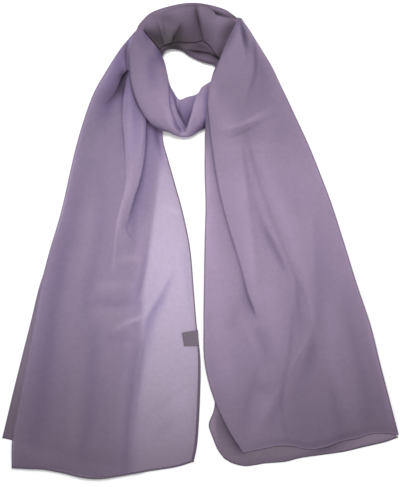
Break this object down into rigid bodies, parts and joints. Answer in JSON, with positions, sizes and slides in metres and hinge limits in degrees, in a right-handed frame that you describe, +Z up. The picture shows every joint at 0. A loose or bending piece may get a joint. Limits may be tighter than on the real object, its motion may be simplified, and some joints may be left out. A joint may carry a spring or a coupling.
{
  "type": "chiffon scarf",
  "caption": "Long sheer chiffon scarf, folded lengthwise and wound round an open neck, laid flat with both ends hanging down.",
  "frame": {"origin": "on the surface that the scarf lies on, under the middle of its overall length and width", "axes": "+X across the scarf towards the end that lies on top, +Y from the hems to the neck, +Z up out of the surface"},
  "size_m": [0.575, 0.6925, 0.0259],
  "materials": {
    "chiffon": "sheer mauve crepe chiffon, matte with a faint sheen, lighter where one layer lies alone",
    "chiffon_gathered": "the same chiffon gathered in many layers, opaque and darker",
    "label": "plain woven satin tab, blank"
  },
  "bodies": {
    "root": {"left_tail": "chiffon", "left_tail_under": "chiffon", "right_tail": "chiffon", "right_tail_under": "chiffon", "front_loop": "chiffon", "neck_over": "chiffon_gathered", "neck_under": "chiffon_gathered", "label": "label"}
  },
  "joints": []
}
